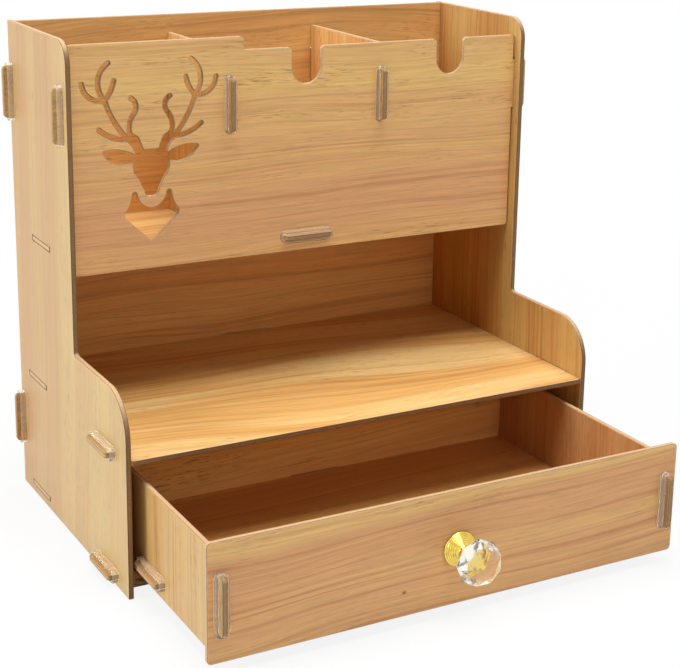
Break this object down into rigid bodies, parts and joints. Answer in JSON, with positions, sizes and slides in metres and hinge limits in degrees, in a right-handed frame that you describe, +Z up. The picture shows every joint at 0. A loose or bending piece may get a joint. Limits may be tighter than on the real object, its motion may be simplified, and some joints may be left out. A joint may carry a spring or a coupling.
{
  "type": "desk organizer",
  "caption": "Slot-together board desk organizer: pen compartments behind a front panel pierced with a stag head, an open shelf and a drawer with a crystal knob.",
  "frame": {"origin": "centre of the base of the bounding box, on the desk, with the drawer drawn part way out as stored", "axes": "+X to the right as seen from the front, +Y to the back, +Z up; the drawer opens towards -Y"},
  "size_m": [0.3324, 0.325, 0.312],
  "materials": {
    "side_laminate": "satin printed wood laminate with upright grain",
    "front_laminate": "satin printed wood laminate with level grain",
    "board_laminate": "satin printed wood laminate",
    "clear_plastic": "clear moulded plastic",
    "knob_brass": "polished",
    "knob_crystal": "cut and polished, faceted",
    "screw_steel": "bright zinc plated"
  },
  "bodies": {
    "cabinet": {"left_side": "side_laminate", "right_side": "side_laminate", "back_panel": "board_laminate", "pierced_front_panel": "front_laminate", "left_divider": "board_laminate", "right_divider": "board_laminate", "compartment_floor": "board_laminate", "shelf": "board_laminate", "bottom_board": "board_laminate", "front_panel_clips": "clear_plastic", "back_panel_upper_clips": "clear_plastic", "back_panel_lower_clips": "clear_plastic", "shelf_clips": "clear_plastic", "bottom_board_clips": "clear_plastic", "divider_clips": "clear_plastic", "floor_clip": "clear_plastic"},
    "drawer": {"drawer_front": "front_laminate", "drawer_left_side": "side_laminate", "drawer_right_side": "side_laminate", "drawer_back": "board_laminate", "drawer_bottom": "board_laminate", "drawer_front_clips": "clear_plastic", "drawer_bottom_clips": "clear_plastic", "drawer_back_clips": "clear_plastic", "knob_base": "knob_brass", "knob_crystal": "knob_crystal", "knob_screw": "screw_steel"}
  },
  "joints": [
    {"name": "drawer_slide", "type": "slide", "parent": "cabinet", "child": "drawer", "axis": [0, -1, 0], "range_m": [-0.101, 0.045]}
  ]
}
